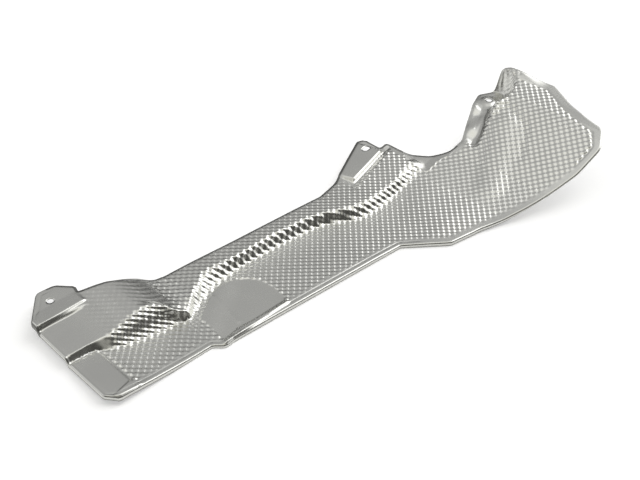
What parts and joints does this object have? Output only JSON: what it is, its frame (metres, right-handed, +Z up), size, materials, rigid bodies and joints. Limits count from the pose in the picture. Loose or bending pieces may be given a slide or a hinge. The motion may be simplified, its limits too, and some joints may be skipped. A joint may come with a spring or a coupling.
{
  "type": "car heat shield",
  "caption": "Long strip of embossed aluminium sheet with a step along it, an upturned dish at one end and fixing holes in flat seats.",
  "frame": {"origin": "middle of the bounding box in plan, at the height of the surface that the shield lies on", "axes": "+X along the strip towards the dish, +Y across it towards the edge with the seats, +Z up through the sheet"},
  "size_m": [0.7536, 0.2718, 0.0814],
  "materials": {
    "embossed_aluminium": "bright rolled sheet, embossed with rows of small bumps, smooth on the seats and rim"
  },
  "bodies": {
    "root": {"shield_panel": "embossed_aluminium"}
  },
  "joints": []
}
